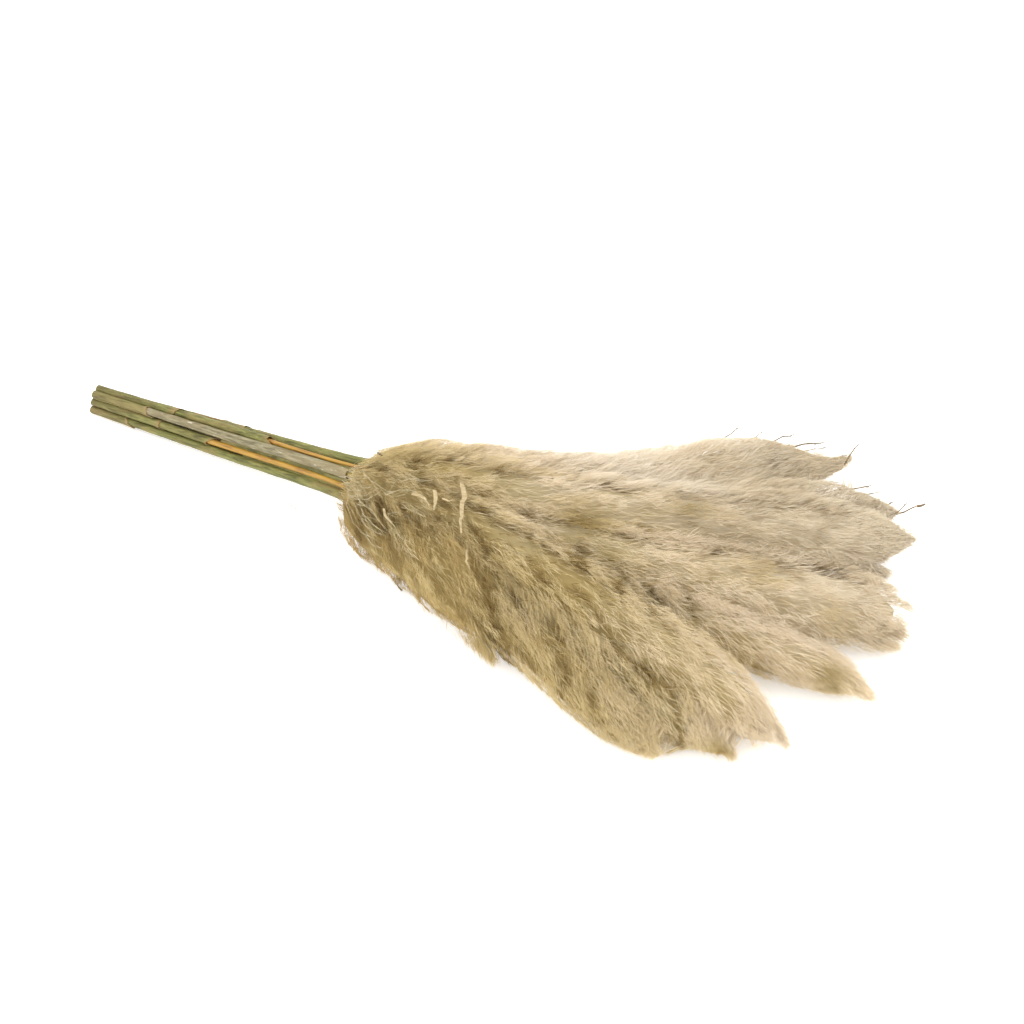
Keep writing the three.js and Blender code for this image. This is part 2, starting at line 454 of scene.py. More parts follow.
def stretched_noise(nodes, links, scale, detail, distortion=0.0):
    """Noise in the object's own coordinates, drawn out by unequal scales along X, Y and Z."""
    place = nodes.new("ShaderNodeTexCoord")
    mapping = nodes.new("ShaderNodeMapping")
    mapping.inputs["Scale"].default_value = scale
    links.new(place.outputs["Object"], mapping.inputs["Vector"])
    noise = nodes.new("ShaderNodeTexNoise")
    noise.inputs["Scale"].default_value = 1
    noise.inputs["Detail"].default_value = detail
    noise.inputs["Distortion"].default_value = distortion
    links.new(mapping.outputs["Vector"], noise.inputs["Vector"])
    return noise.outputs["Fac"]


def blend(nodes, links, factor, first, second, way="MIX"):
    """A colour mixed from two; each input is a plain value or another node's output."""
    mix = nodes.new("ShaderNodeMix")
    mix.data_type = "RGBA"
    mix.blend_type = way
    for socket, value in ((mix.inputs["Factor"], factor), (mix.inputs[6], first), (mix.inputs[7], second)):
        if isinstance(value, bpy.types.NodeSocket):
            links.new(value, socket)
        elif isinstance(value, tuple):
            socket.default_value = (*value, 1)
        else:
            socket.default_value = value
    return mix.outputs[2]


def finish_material(nodes, links, color, roughness, bump_source=None, bump_height=0.0, coat=0.0):
    shader = nodes.new("ShaderNodeBsdfPrincipled")
    links.new(color, shader.inputs["Base Color"])
    shader.inputs["Roughness"].default_value = roughness
    shader.inputs["Specular IOR Level"].default_value = 0.4
    shader.inputs["Coat Weight"].default_value = coat
    shader.inputs["Coat Roughness"].default_value = 0.3
    if bump_source is not None:
        bump = nodes.new("ShaderNodeBump")
        bump.inputs["Strength"].default_value = 1
        bump.inputs["Distance"].default_value = bump_height
        links.new(bump_source, bump.inputs["Height"])
        links.new(bump.outputs["Normal"], shader.inputs["Normal"])
    to_output(nodes, links, shader)


def sheath_material(name, dark, middle, light, lip, bloom=0.0):
    """A dry leaf sheath: fine ribs lengthwise, pale edges and a tinted lip.

    Its map's U runs across, and its V to the lip.
    """
    material, nodes, links = new_material(name)
    ribs = stretched_noise(nodes, links, (9, 1500, 1500), 2)
    streaks = stretched_noise(nodes, links, (14, 420, 420), 4, 0.4)
    patches = stretched_noise(nodes, links, (26, 90, 90), 3)
    tone = ramp(nodes, links, streaks, ((0.34, dark), (0.5, middle), (0.66, light)))
    fine = ramp(nodes, links, ribs, ((0.35, (0.66, 0.66, 0.62)), (0.62, (1.08, 1.08, 1.04))))
    color = blend(nodes, links, 0.75, tone, fine, "MULTIPLY")
    patch = ramp(nodes, links, patches, ((0.5, BLACK), (0.64, WHITE)))
    brown = blend(nodes, links, 0.35, color, lip)
    color = blend(nodes, links, patch, color, brown)
    place = nodes.new("ShaderNodeTexCoord")
    along = nodes.new("ShaderNodeSeparateXYZ")
    links.new(place.outputs["Object"], along.inputs[0])
    cut = nodes.new("ShaderNodeMapRange")
    cut.inputs["From Min"].default_value, cut.inputs["From Max"].default_value = WEATHERED
    cut.inputs["To Min"].default_value = 0.5
    cut.inputs["To Max"].default_value = 0
    links.new(along.outputs["X"], cut.inputs["Value"])
    weathered = blend(nodes, links, 0.8, color, srgb(98, 80, 46))
    color = blend(nodes, links, cut.outputs[0], color, weathered)
    across, to_lip = map_parts(nodes, links, "Sheet")
    near_lip = ((0.82, BLACK), (0.96, (0.7, 0.7, 0.7)), (1.0, WHITE))
    color = blend(nodes, links, ramp(nodes, links, to_lip, near_lip), color, lip)
    both_edges = ((0.0, WHITE), (0.035, BLACK), (0.965, BLACK), (1.0, WHITE))
    edge = ramp(nodes, links, across, both_edges)
    color = blend(nodes, links, edge, color, srgb(176, 160, 108))
    if bloom:
        spots = stretched_noise(nodes, links, (90, 300, 300), 3)
        white = ramp(nodes, links, spots, ((0.63, BLACK), (0.71, (bloom, bloom, bloom))))
        color = blend(nodes, links, white, color, srgb(205, 200, 182))
    finish_material(nodes, links, color, 0.58, ribs, 0.0006)
    return material


def culm_material(name, dark, middle, light, gloss):
    """A bare culm: smooth and a little glossy, with faint lengthwise streaks."""
    material, nodes, links = new_material(name)
    streaks = stretched_noise(nodes, links, (8, 520, 520), 3)
    patches = stretched_noise(nodes, links, (30, 60, 60), 2)
    tone = ramp(nodes, links, streaks, ((0.36, dark), (0.5, middle), (0.68, light)))
    patch = ramp(nodes, links, patches, ((0.45, BLACK), (0.65, (0.6, 0.6, 0.6))))
    color = blend(nodes, links, patch, tone, light)
    finish_material(nodes, links, color, 0.42, streaks, 0.0002, gloss)
    return material


def pith_material():
    """The cut face of a culm."""
    material, nodes, links = new_material("pith")
    grain = stretched_noise(nodes, links, (900, 900, 900), 3)
    tone = ramp(nodes, links, grain, ((0.35, srgb(112, 94, 62)), (0.6, srgb(168, 150, 108))))
    finish_material(nodes, links, tone, 0.9, grain, 0.0003)
    return material


# ---------------------------------------------------------------- culms and sheaths

WEATHERED = (-0.455, -0.36)  # from where to where along X the sheaths are browner, at the cut ends
CULM_RADIUS = 3.3 * MM
CULM_TIP_RADIUS = 1 * MM
SHEATH_RADIUS = 4.25 * MM
SHEATH_WALL = 0.4 * MM
SHEATH_SPREAD = 1.3 * MM  # how much wider a sheath is at the throat than at the cut end
SHEATH_TURN = math.radians(398)  # how far round it is rolled, with its overlap
SHEATH_RISE = 0.62 * MM  # how far its outer edge lies over its inner one
LIP_LENGTH = 26 * MM  # of the torn part of a sheath
LIP_TEETH = 1.6  # how far its tears go in or out, mm
JOINT_SWELLING = 1.12  # a culm's radius there, as a share of its radius elsewhere
TUCKED = 11 * MM  # how far an upper sheath begins inside the lower one
OVER_THROAT = 34 * MM  # how far the last sheaths reach in among the plumes
BLADE_WIDTH = 0.9  # of a leaf blade, as a share of the way from one stem to the next
BLADE_WALL = 0.35 * MM


def make_culm(reed, material, pith):
    """A culm from its cut end into its plume, with a swelling at the joint."""
    joint = reed.distance(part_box(f"lower_sheath_{reed.number:02d}")[1][0])
    stations = [(0, CULM_RADIUS)]
    for share in (-4, -1.4, 0, 1.4, 4):
        swelling = JOINT_SWELLING if abs(share) < 2 else 1.0
        stations.append((joint + share * MM, CULM_RADIUS * swelling))
    rest = np.linspace(joint + 20 * MM, reed.length, 40)
    shrink = np.linspace(CULM_RADIUS, CULM_TIP_RADIUS, 40)
    stations += list(zip(rest, shrink))
    name = f"culm_{reed.number:02d}"
    culm = tube(name, stations, 20)
    hollow_end(culm)
    bend_along(culm, reed.line)
    culm.data.materials.append(material)
    culm.data.materials.append(pith)
    start = reed.line[0]
    for face in culm.data.polygons:
        inward = Vector(start) - face.center
        if inward.length < CULM_RADIUS * 0.86 and abs(face.normal.x) > 0.5:
            face.material_index = 1
    bpy.ops.object.shade_smooth_by_angle(angle=math.radians(40))
    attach(culm, "root")
    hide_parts(f"stem_{reed.number:02d}")


def hollow_end(culm):
    """Sinks the middle of the cut face a little, as pith dries back from its rind."""
    take(culm)
    for face in culm.data.polygons:
        face.select = len(face.vertices) > 4 and face.center.x < MM
    bpy.ops.object.mode_set(mode="EDIT")
    bpy.ops.mesh.select_mode(type="FACE")
    bpy.ops.mesh.inset(thickness=0.7 * MM, depth=0)
    bpy.ops.mesh.inset(thickness=0.2 * MM, depth=-0.7 * MM)
    bpy.ops.object.mode_set(mode="OBJECT")


def flat_sheet(name, length, width, steps_long, steps_wide):
    """A flat sheet along X from 0, with a map whose U runs across it and V along it."""
    deselect()
    bpy.ops.mesh.primitive_grid_add(
        x_subdivisions=steps_long,
        y_subdivisions=steps_wide,
        size=1,
        calc_uvs=True,
    )
    sheet = start_piece(name)
    bpy.ops.object.mode_set(mode="EDIT")
    bpy.ops.mesh.select_all(action="SELECT")
    bpy.ops.transform.resize(value=(length, width, 1), center_override=(0, 0, 0))
    bpy.ops.transform.translate(value=(length / 2, 0, 0))
    bpy.ops.object.mode_set(mode="OBJECT")
    layer = sheet.data.uv_layers[0]
    layer.name = "Sheet"
    for loop in sheet.data.loops:
        place = sheet.data.vertices[loop.vertex_index].co
        layer.data[loop.index].uv = (place.y / width + 0.5, place.x / length)
    return sheet


def roll_up(sheet, radii, turn, seam, lip_cut, lip_flare, shift, rng):
    """Rolls a flat sheet round X into an overlapping tube, with a slanting, torn lip at its far end."""
    length = max(v.co.x for v in sheet.data.vertices)
    width = 2 * max(v.co.y for v in sheet.data.vertices)
    teeth = rng.uniform(-LIP_TEETH, LIP_TEETH, 64) * MM
    ripple = rng.uniform(0, ROUND, 3)
    for vertex in sheet.data.vertices:
        x, share = vertex.co.x, vertex.co.y / width + 0.5
        angle = seam + turn * (share - 0.5)
        near_lip = max(0.0, 1 - (length - x) / LIP_LENGTH) ** 2
        torn = lip_cut * (0.5 - 0.5 * math.cos(math.radians(360) * (share + 0.08))) + teeth[int(share * 40)]
        x -= near_lip * max(torn, 0)
        loose = 1 + 0.03 * math.sin(x * 160 + ripple[0]) + 0.02 * math.sin(x * 410 + ripple[1])
        radius = radii[0] + (radii[1] - radii[0]) * vertex.co.x / length
        reach = radius * loose + SHEATH_RISE * share + lip_flare * near_lip
        vertex.co = (x + shift, reach * 1.06 * math.sin(angle), reach * 0.97 * math.cos(angle))


def make_sheath(reed, part, material, rng, seam, lip_cut, lip_flare):
    name = f"{part}_sheath_{reed.number:02d}"
    low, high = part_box(name)
    start = reed.distance(low[0] - (TUCKED if part == "upper" else 0))
    end = reed.distance(high[0] + (OVER_THROAT if high[0] > THROAT_X - 30 * MM else 0))
    steps = max(12, int((end - start) / (6 * MM)))
    width = 2 * math.pi * SHEATH_RADIUS * 1.12
    sheath = flat_sheet(f"leaf_{name}", end - start, width, steps, 22)
    shares = [(d / reed.distance(THROAT_X)) ** 2 for d in (start, end)]
    radii = [SHEATH_RADIUS + SHEATH_SPREAD * share - 0.35 * MM for share in shares]
    if part == "upper":
        radii[0] -= 0.3 * MM
    roll_up(sheath, radii, SHEATH_TURN, seam, lip_cut, lip_flare, start, rng)
    thicken(sheath, SHEATH_WALL, -1)
    bend_along(sheath, reed.line)
    surface(sheath, material, 50)
    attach(sheath, "root")
    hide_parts(name)


def make_web(name, first, second, start, end, material):
    """A dry leaf blade pressed flat between two reeds, from start to end along them."""
    length = end - start
    blade = flat_sheet(name, length, 1.0, 40, 4)
    for vertex in blade.data.vertices:
        distance = start + vertex.co.x
        taper = 1 - 0.7 * (vertex.co.x / length) ** 3
        across = 0.5 + BLADE_WIDTH * taper * vertex.co.y
        ripple = 0.5 * MM * math.sin(vertex.co.x * 90 + vertex.co.y * 3)
        near, far = first.place(distance), second.place(distance)
        vertex.co = Vector(near * (1 - across) + far * across) + Vector((0, 0, ripple - 1 * MM))
    thicken(blade, BLADE_WALL, 0)
    bpy.ops.object.mode_set(mode="EDIT")
    bpy.ops.mesh.select_all(action="SELECT")
    bpy.ops.mesh.normals_make_consistent(inside=False)
    bpy.ops.object.mode_set(mode="OBJECT")
    surface(blade, material, 50)
    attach(blade, "root")


def make_webs(material):
    pairs = (
        ("leaf_blade_a", 2, 6, 0.17, 0.35),
        ("leaf_blade_b", 1, 2, 0.22, 0.36),
        ("leaf_blade_c", 6, 4, 0.2, 0.34),
    )
    for name, first, second, start, end in pairs:
        make_web(name, STALKS[first - 1], STALKS[second - 1], start, end, material)


def make_reeds():
    rng = np.random.default_rng(SEED)
    straw = culm_material("culm_straw", srgb(120, 104, 50), srgb(150, 134, 70), srgb(170, 150, 84), 0.1)
    honey = culm_material("culm_honey", srgb(118, 82, 30), srgb(150, 108, 38), srgb(164, 128, 40), 0.2)
    pith = pith_material()
    olive_tones = (srgb(72, 72, 28), srgb(104, 103, 50), srgb(128, 126, 70), srgb(138, 114, 72))
    khaki_tones = (srgb(78, 72, 32), srgb(110, 105, 54), srgb(132, 126, 72), srgb(138, 116, 76))
    grey_tones = (srgb(92, 84, 60), srgb(122, 114, 86), srgb(144, 136, 110), srgb(138, 122, 88))
    olive = sheath_material("sheath_olive", *olive_tones)
    khaki = sheath_material("sheath_khaki", *khaki_tones)
    grey = sheath_material("sheath_grey", *grey_tones, bloom=0.6)
    lower = {1: olive, 2: khaki, 3: olive, 4: khaki, 5: olive, 6: olive, 7: khaki, 8: khaki, 9: olive}
    upper = {1: olive, 2: grey, 3: olive, 4: olive, 5: olive, 6: khaki, 7: olive, 8: khaki, 9: khaki}
    make_webs(khaki)
    for reed in STALKS:
        make_culm(reed, honey if reed.number in (1, 6) else straw, pith)
        make_sheath(reed, "lower", lower[reed.number], rng, rng.uniform(-1.2, 1.2), 10 * MM, 0.9 * MM)
        make_sheath(reed, "upper", upper[reed.number], rng, rng.uniform(-1.2, 1.2), 16 * MM, 0.3 * MM)


# ---------------------------------------------------------------- plumes

def hair_shape():
    """One straight hair along Z from 0 to 1, pointed at both ends.

    It is a cone of three sides with two corners of its rim drawn up.
    """
    deselect()
    bpy.ops.mesh.primitive_cone_add(
        vertices=3,
        radius1=1,
        radius2=0,
        depth=1,
        end_fill_type="NGON",
        location=(0, 0, 0.5),
    )
    hair = start_piece("hair")
    bpy.ops.object.transform_apply(location=True)
    bpy.ops.object.mode_set(mode="EDIT")
    bpy.ops.mesh.select_all(action="DESELECT")
    bpy.ops.object.mode_set(mode="OBJECT")
    rim = [v for v in hair.data.vertices if v.co.z < 0.5]
    for vertex in sorted(rim, key=lambda v: v.co.y)[:2]:
        vertex.select = True
    bpy.ops.object.mode_set(mode="EDIT")
    bpy.ops.transform.translate(value=(0, 0, 0.4))
    bpy.ops.object.mode_set(mode="OBJECT")
    low = min(hair.data.vertices, key=lambda v: v.co.z).co.copy()
    corners = np.array([v.co for v in hair.data.vertices])
    corners[:, :2] -= np.outer(1 - corners[:, 2], low[:2])
    faces = np.array([p.vertices[:] for p in hair.data.polygons])
    bpy.data.objects.remove(hair)
    return corners, faces


class Tassels:
    """The side branches of one plume, as arrays with a row for each branch."""

    def __init__(self, plume, rng):
        self.plume = plume
        count = int(TASSELS_PER_METRE * plume.length)
        start = ((np.arange(count) + rng.random(count)) / count) ** 1.15 * 0.99 - 0.03
        reach = np.interp(start, TASSEL_STARTS, TASSEL_LENGTHS) * MM
        reach *= rng.uniform(0.75, 1.2, count)
        sunk = rng.random(count) < 0.16
        self.start = start
        self.end = np.minimum(start + 0.86 * reach / plume.length, rng.uniform(0.91, 1.01, count))
        self.turn = np.arange(count) * NEXT_TURN + rng.normal(0, 0.25, count)
        self.width = plume.radius(self.end) * rng.uniform(0.86, 1.0, count) * (1 - 0.13 * sunk)
        self.curl = np.interp(start, (0, 0.5, 0.9), (1.15, 1.0, 0.75)) * rng.uniform(0.85, 1.15, count)
        self.droop = rng.uniform(0, 5, count) * MM
        self.lean = np.zeros(count)
        self.stray = rng.normal(0, 0.2, count)
        self.rough = np.interp(self.end, (0.15, 0.5, 0.9), (1, 0.65, 0.15))
        self.level = rng.random(count)
        # Painted shade: sunk tassels get a darker tone and brightness, and so do tassels whose hairs root
        # deeper (higher level).
        self.tone = rng.normal(0, 0.05, count) - 0.1 * sunk
        self.light = (rng.normal(0, 0.12, count) + 0.45 * (0.5 - self.level) - 0.3 * sunk) * self.rough
        # Painted highlight: a share of the tassels carry bright strokes, hairs that are brighter as well as
        # longer and thicker.
        self.bright = np.where(rng.random(count) < 0.25, 0.4, 0.03) * self.rough
        self.give = rng.exponential(np.interp(self.end, (0.3, 0.9), (2.2, 3.4))) * (rng.random(count) < 0.3)
        ends = self.place(np.arange(count), np.ones(count))
        self.lean = LEAN * MM * np.clip(1.5 * side_of_bundle(ends), -1, 1) * rng.uniform(0.5, 1.3, count)
        deep = ENVELOPE.depth(ends)
        kept = (deep < BURIED) & (ends[:, 2] > -22 * MM)
        for name, rows in list(vars(self).items()):
            if isinstance(rows, np.ndarray):
                setattr(self, name, rows[kept])
        self.count = int(kept.sum())

    def place(self, which, s):
        """Points at shares s along the branches named by their rows."""
        t = self.start[which] + (self.end[which] - self.start[which]) * s
        rise = self.width[which] * np.clip(s, 0, None) ** self.curl[which]
        turn = self.turn[which] + self.stray[which] * s
        points = self.plume.place(t) + self.plume.around(t, turn) * rise[:, None]
        points[:, 1] += self.lean[which] * s**2
        points[:, 2] -= self.droop[which] * s**2
        return points

    def heading(self, which, s):
        return unit(self.place(which, s + 0.02) - self.place(which, s - 0.02))


def hairs_of(tassels, rng):
    """For every hair of these tassels: root, tip, thickness, tone, brightness and how far it strays."""
    n = tassels.count * HAIRS
    which = np.repeat(np.arange(tassels.count), HAIRS)
    bright = rng.random(n) < tassels.bright[which]
    s = rng.uniform(0.4, 1.0, n) ** 0.7
    along = tassels.heading(which, s)
    side = unit(np.cross(along, (0.0, 0.0, 1.0)))
    turn = rng.uniform(0, 2 * math.pi, n)
    out = np.cos(turn)[:, None] * side + np.sin(turn)[:, None] * np.cross(side, along)
    opening = rng.uniform(0, 0.6, n) * (1.15 - 0.4 * s)
    opening *= np.interp(tassels.end[which], (0.8, 1), (1, 0.55))
    heading = along * np.cos(opening)[:, None] + out * np.sin(opening)[:, None]
    heading = unit(heading + (0, 0, -0.08) + rng.normal(0, 0.2, (n, 3)))
    looseness = np.interp(tassels.end[which], (0.2, 0.8), (2.6, 3.8)) * (1.3 - 0.5 * s) * MM
    root = tassels.place(which, s) + rng.normal(0, 1, (n, 3)) * looseness[:, None]
    level = 0.6 * tassels.rough[which] * tassels.level[which]
    level += (1 - 0.6 * tassels.rough[which]) * rng.uniform(0, 1, n) ** 0.8
    level *= SEEN * np.interp(tassels.end[which], (0.4, 0.9), (1, 0.55))
    root = ENVELOPE.lift(root, level)
    length = rng.uniform(*HAIR_LENGTH, n) * (1.1 - 0.35 * s) * (1 + 0.25 * bright) * MM
    tip = root + heading * length[:, None]
    axis = ENVELOPE.lift(tassels.place(which, s + 0.22), level)
    tip += (axis - tip) * (rng.uniform(0.05, 0.5, n) * tassels.rough[which])[:, None]
    thick = rng.uniform(*HAIR_RADIUS, n) * (1 + 0.3 * bright) * MM
    tone = tassels.tone[which] + rng.normal(0, 0.03, n)
    # The bright hairs carry a painted highlight.
    light = tassels.light[which] + rng.normal(0, 0.025, n) * tassels.rough[which] + 0.15 * bright
    give = (1 + rng.exponential(1.4, n) + tassels.give[which] * (1 - 0.8 * near_side(root))) * MM
    t = tassels.start[which] + (tassels.end[which] - tassels.start[which]) * s
    below = (root - tassels.plume.place(t))[:, 2] / tassels.plume.radius(t) < -0.55
    seen = (ENVELOPE.depth(root) < 1.2 * SEEN) & ~(below & (rng.random(n) < 0.8))
    return [rows[seen] for rows in (root, tip, thick, tone, light, give)]


def undercoat_of(plume, rng):
    """Hairs that lie close along the core, as hairs_of gives them."""
    n = UNDERCOAT
    t = rng.uniform(-0.01, 0.95, n)
    out = plume.around(t, rng.uniform(0, 2 * math.pi, n))
    root = plume.place(t) + out * (CORE_SHARE * plume.radius(t) * rng.uniform(0.97, 1.3, n))[:, None]
    heading = unit(plume.at(t, plume.along) + out * 0.3 + rng.normal(0, 0.2, (n, 3)))
    tip = root + heading * (rng.uniform(*UNDERCOAT_LENGTH, n) * MM)[:, None]
    thick = rng.uniform(*UNDERCOAT_RADIUS, n) * MM
    return root, tip, thick, rng.normal(0, 0.07, n), rng.normal(-0.05, 0.08, n), np.full(n, 2 * MM)


def combed(hairs):
    """The hairs with what sticks out of the bundle drawn back to its surface, and sunk at the partings."""
    root, tip, *rest, give = hairs
    held = [ENVELOPE.hold(root, 0.3 * give), ENVELOPE.hold(tip, give)]
    for points in held:
        points[:, 2] -= CREASE_DEPTH * parting(points, CREASE_WIDTH)
    return held + rest


def small_creases(rng):
    """Short partings between tufts, most of them on the near side, that run the way the hair is combed."""
    creases = []
    for _ in range(SMALL_CREASES):
        x = rng.uniform(-105, 250)
        row = rng.uniform(-1, 1) ** 3 * 0.5 - 0.35
        y = row * np.interp(x, (-105, 60, 300), (80, 150, 190)) + np.interp(x, (-105, 300), (-20, 10))
        slope = np.clip(y / 70, -1.1, 0.35) + rng.normal(0, 0.15)
        length = rng.uniform(7, 20)
        creases.append(((x, y), (x + length, y + slope * length)))
    return creases


def parting(points, width):
    """1 in the middle of a parting, 0 beyond its width: it sets the dent there and the painted shade."""
    deepest = np.zeros(len(points))
    for start, end in ALL_CREASES:
        start, end = np.array(start) * MM, np.array(end) * MM
        share = np.clip((points[:, :2] - start) @ (end - start) / ((end - start) ** 2).sum(), 0, 1)
        away = np.linalg.norm(points[:, :2] - start - share[:, None] * (end - start), axis=1)
        ragged = 1 + 0.35 * np.sin(points[:, 0] * 700) + 0.25 * np.sin(points[:, 1] * 1100)
        deepest = np.maximum(deepest, np.exp(-((away / (width * MM * ragged)) ** 2)))
    return deepest


ALL_CREASES = [*CREASES, *small_creases(np.random.default_rng(SEED + 3))]


def husks(points):
    """1 in the middle of a soft brown patch, 0 outside it."""
    shown = np.zeros(len(points))
    for middle, radius in SPOTS:
        away = np.linalg.norm((points[:, :2] - np.array(middle) * MM) * (0.75, 1.25), axis=1)
        shown = np.maximum(shown, np.exp(-((away / (radius * MM)) ** 2)))
    return shown


def patches(points):
    """Slow uneven waves through the bundle, from -1 to 1, that colour it in patches."""
    rng = np.random.default_rng(SEED)
    total = np.zeros(len(points))
    for _ in range(9):
        wave = rng.normal(0, 1, 3)
        wave *= 2 * math.pi / (rng.uniform(0.05, 0.13) * np.linalg.norm(wave))
        wave[0] *= 0.6
        total += np.sin(points @ wave + rng.uniform(0, ROUND))
    return np.clip(total / 3.2, -1, 1)


def ahead_of_throat(points):
    """0 at the throat and 1 at the tips of the plumes."""
    return np.clip((points[:, 0] - THROAT_X) / (CAD_BOX[1][0] - THROAT_X), 0, 1)


def near_side(points):
    """1 low on the near side, 0 in the middle and at the tips."""
    return np.clip((-points[:, 1] - 0.03) / 0.05, 0, 1) * np.clip((0.36 - points[:, 0]) / 0.12, 0, 1)


def region_tone(points):
    """Straw near the throat and low on the near side, cream at the tips and on the far side."""
    ahead = ahead_of_throat(points)
    low = np.clip(1 - points[:, 2] / (70 * MM), 0, 1)
    far = np.clip(points[:, 1] / 0.06, 0, 1) * np.interp(ahead, (0.15, 0.7), (0.5, 0.18))
    return 0.28 + 0.6 * ahead ** 0.7 - 0.1 * low - 0.26 * near_side(points) + far + 0.1 * patches(points)


def region_light(points):
    """A little shaded on the near side and towards the far tips."""
    tips = np.clip((points[:, 0] - 0.17) / 0.1, 0, 1) * np.clip((points[:, 1] + 0.04) / 0.08, 0, 1)
    return 0.92 - 0.02 * near_side(points) - 0.42 * tips + 0.07 * patches(points + 0.3)


def hair_mesh(name, hairs, rng, shape):
    root, tip, thick, tone, light = hairs
    # How deep each root lies in the bundle, mm: deeper hairs get a darker, more straw colour below as painted
    # shade, less so towards the tips.
    deep = np.clip(ENVELOPE.depth(root) / MM - 4, 0, 20)
    corners, faces = shape
    n, per = len(root), len(corners)
    spine = root[:, None] + corners[:, 2][None, :, None] * (tip - root)[:, None]
    along = unit(tip - root)
    side = unit(np.cross(along, unit(rng.normal(0, 1, (n, 3)))))
    other = np.cross(along, side)
    across = corners[None, :, 0:1] * side[:, None] + corners[None, :, 1:2] * other[:, None]
    points = (spine + across * thick[:, None, None]).reshape(-1, 3)
    points = settle(points)
    mesh = bpy.data.meshes.new(name)
    mesh.vertices.add(n * per)
    mesh.vertices.foreach_set("co", points.astype(np.float32).ravel())
    all_faces = (faces[None] + (np.arange(n) * per)[:, None, None]).reshape(-1, 3)
    mesh.loops.add(all_faces.size)
    mesh.loops.foreach_set("vertex_index", all_faces.ravel().astype(np.int32))
    mesh.polygons.add(len(all_faces))
    mesh.polygons.foreach_set("loop_start", np.arange(0, all_faces.size, 3, dtype=np.int32))
    mesh.update(calc_edges=True)
    mesh.polygons.foreach_set("use_smooth", np.zeros(len(all_faces), bool))
    # Painted shade: hairs in the partings get a darker, more straw colour. The husks' brown is their own
    # colour.
    dark, brown = parting(root, CREASE_SHADE_WIDTH), husks(root)
    deep *= np.interp(ahead_of_throat(root), (0.4, 0.9), (1, 0.35))
    tones = np.clip(tone + region_tone(root) - 0.005 * deep - 0.4 * dark - 0.5 * brown, 0.03, 0.97)
    lights = np.clip(light + region_light(root) - 0.022 * deep - 0.65 * dark - 0.26 * brown, 0.06, 0.97)
    spread = np.array([0.004 * math.cos(a) for a in np.arctan2(corners[:, 1], corners[:, 0])])
    u = tones[:, None] + spread[None] * (np.abs(corners[:, 0]) + np.abs(corners[:, 1]) > 0.01)[None]
    # Painted shade along each hair: darker at its root, lighter at its tip.
    v = lights[:, None] + (corners[:, 2][None] - 0.5) * 0.16
    uv = np.clip(np.stack([u, v], axis=2).reshape(-1, 2), 0.005, 0.995)
    layer = mesh.uv_layers.new(name="OFBake")
    layer.data.foreach_set("uv", uv[all_faces.ravel()].astype(np.float32).ravel())
    return mesh


def hair_piece(name, hairs, rng, shape, material):
    mesh = hair_mesh(name, hairs, rng, shape)
    mesh.materials.append(material)
    piece = bpy.data.objects.new(name, mesh)
    bpy.context.collection.objects.link(piece)
    return piece


def core_piece(plume, rng):
    """The dense middle of a plume, where no single hair can be told."""
    shares = np.linspace(0, 0.97, 30)
    stations = [(t * plume.length, CORE_SHARE * plume.radius(t)) for t in shares]
    stations = [(0, 4 * MM), *stations[1:-1], (stations[-1][0], 3 * MM)]
    core = tube("plume_core", stations, 22)
    bend_along(core, plume.line)
    mesh = core.data
    points = corners_of(mesh)
    middle = np.stack([np.interp(points[:, 0], plume.line[:, 0], plume.line[:, k]) for k in (1, 2)], axis=1)
    below = np.clip((middle[:, 1] - points[:, 2]) / (CORE_SHARE * plume.girth) + 0.35, 0, 1)
    points[:, 1] += (points[:, 1] - middle[:, 0]) * SPREAD * below
    points = settle(points, 6 * MM)
    mesh.vertices.foreach_set("co", points.ravel())
    # Painted shade: the core is coloured darker and more straw than the hair, as the shaded middle of the
    # plume.
    tones = np.clip(region_tone(points) - 0.3 + rng.normal(0, 0.06, len(points)), 0.03, 0.97)
    lights = np.clip(0.45 + rng.normal(0, 0.04, len(points)), 0.1, 0.9)
    loops = np.empty(len(mesh.loops), np.int32)
    mesh.loops.foreach_get("vertex_index", loops)
    while mesh.uv_layers:
        mesh.uv_layers.remove(mesh.uv_layers[0])
    layer = mesh.uv_layers.new(name="OFBake")
    layer.data.foreach_set("uv", np.stack([tones, lights], 1)[loops].astype(np.float32).ravel())
    mesh.polygons.foreach_set("use_smooth", np.ones(len(mesh.polygons), bool))
    return core


def make_plumes(material):
    shape = hair_shape()
    for plume in PLUMES:
        rng = np.random.default_rng(SEED + plume.number)
        tassels = Tassels(plume, rng)
        hairs = [np.concatenate(rows) for rows in zip(hairs_of(tassels, rng), undercoat_of(plume, rng))]
        name = f"plume_hair_{plume.number:02d}"
        piece = hair_piece(name, combed(hairs), rng, shape, material)
        core = core_piece(plume, rng)
        core.data.materials.append(material)
        deselect()
        core.select_set(True)
        piece.select_set(True)
        bpy.context.view_layer.objects.active = piece
        bpy.ops.object.join()
        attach(piece, "root")
        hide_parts(f"plume_{plume.number:02d}")
        print(name, tassels.count, "tassels", len(piece.data.polygons), "faces")


